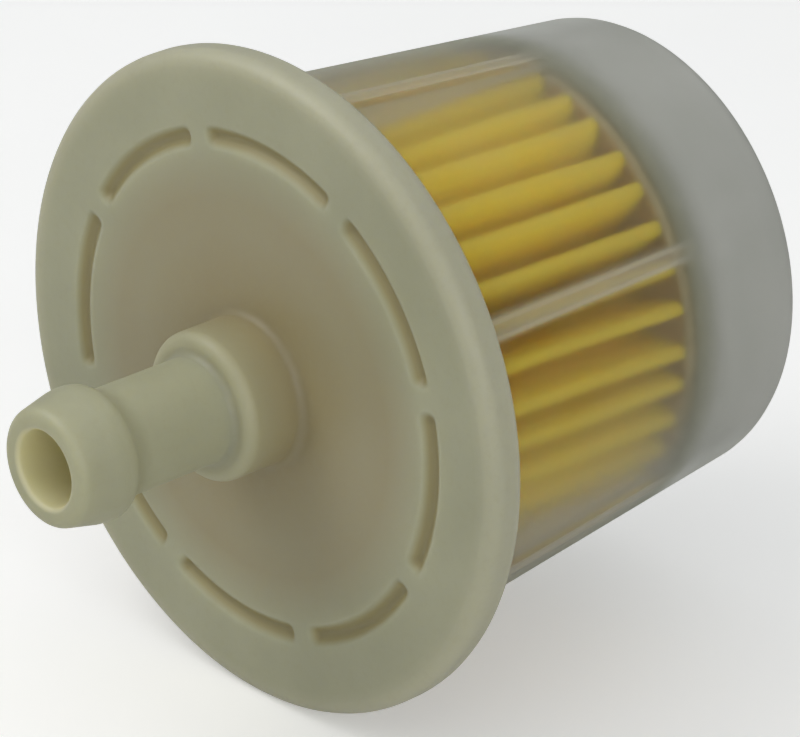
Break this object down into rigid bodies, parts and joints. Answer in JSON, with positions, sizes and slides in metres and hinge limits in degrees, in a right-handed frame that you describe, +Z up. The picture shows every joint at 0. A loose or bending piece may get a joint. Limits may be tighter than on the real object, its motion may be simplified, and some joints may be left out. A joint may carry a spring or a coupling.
{
  "type": "fuel filter",
  "caption": "In-line fuel filter: round flanged cap with a hose barb, frosted tapered bowl with lengthwise ribs, pleated paper element inside.",
  "frame": {"origin": "on the filter's axis, in the plane of the cap's front face, inside the bore of the cap's nipple", "axes": "the filter's axis lies along Y: the cap's nipple points to -Y, the bowl and its nipple to +Y; +Z is up and X is across"},
  "size_m": [0.04, 0.0544, 0.04],
  "materials": {
    "cap_nylon": "satin moulded natural nylon",
    "frosted_nylon": "frosted translucent moulded nylon",
    "filter_paper": "resin-treated pleated filter paper",
    "adhesive": "cured potting adhesive",
    "end_disc_fibre": "pressed fibre"
  },
  "bodies": {
    "root": {"flange_cap": "cap_nylon", "bowl": "frosted_nylon", "weld_bead": "cap_nylon", "filter_paper": "filter_paper", "paper_seam": "adhesive", "front_potting": "adhesive", "rear_potting": "adhesive", "rear_end_disc": "end_disc_fibre"}
  },
  "joints": []
}
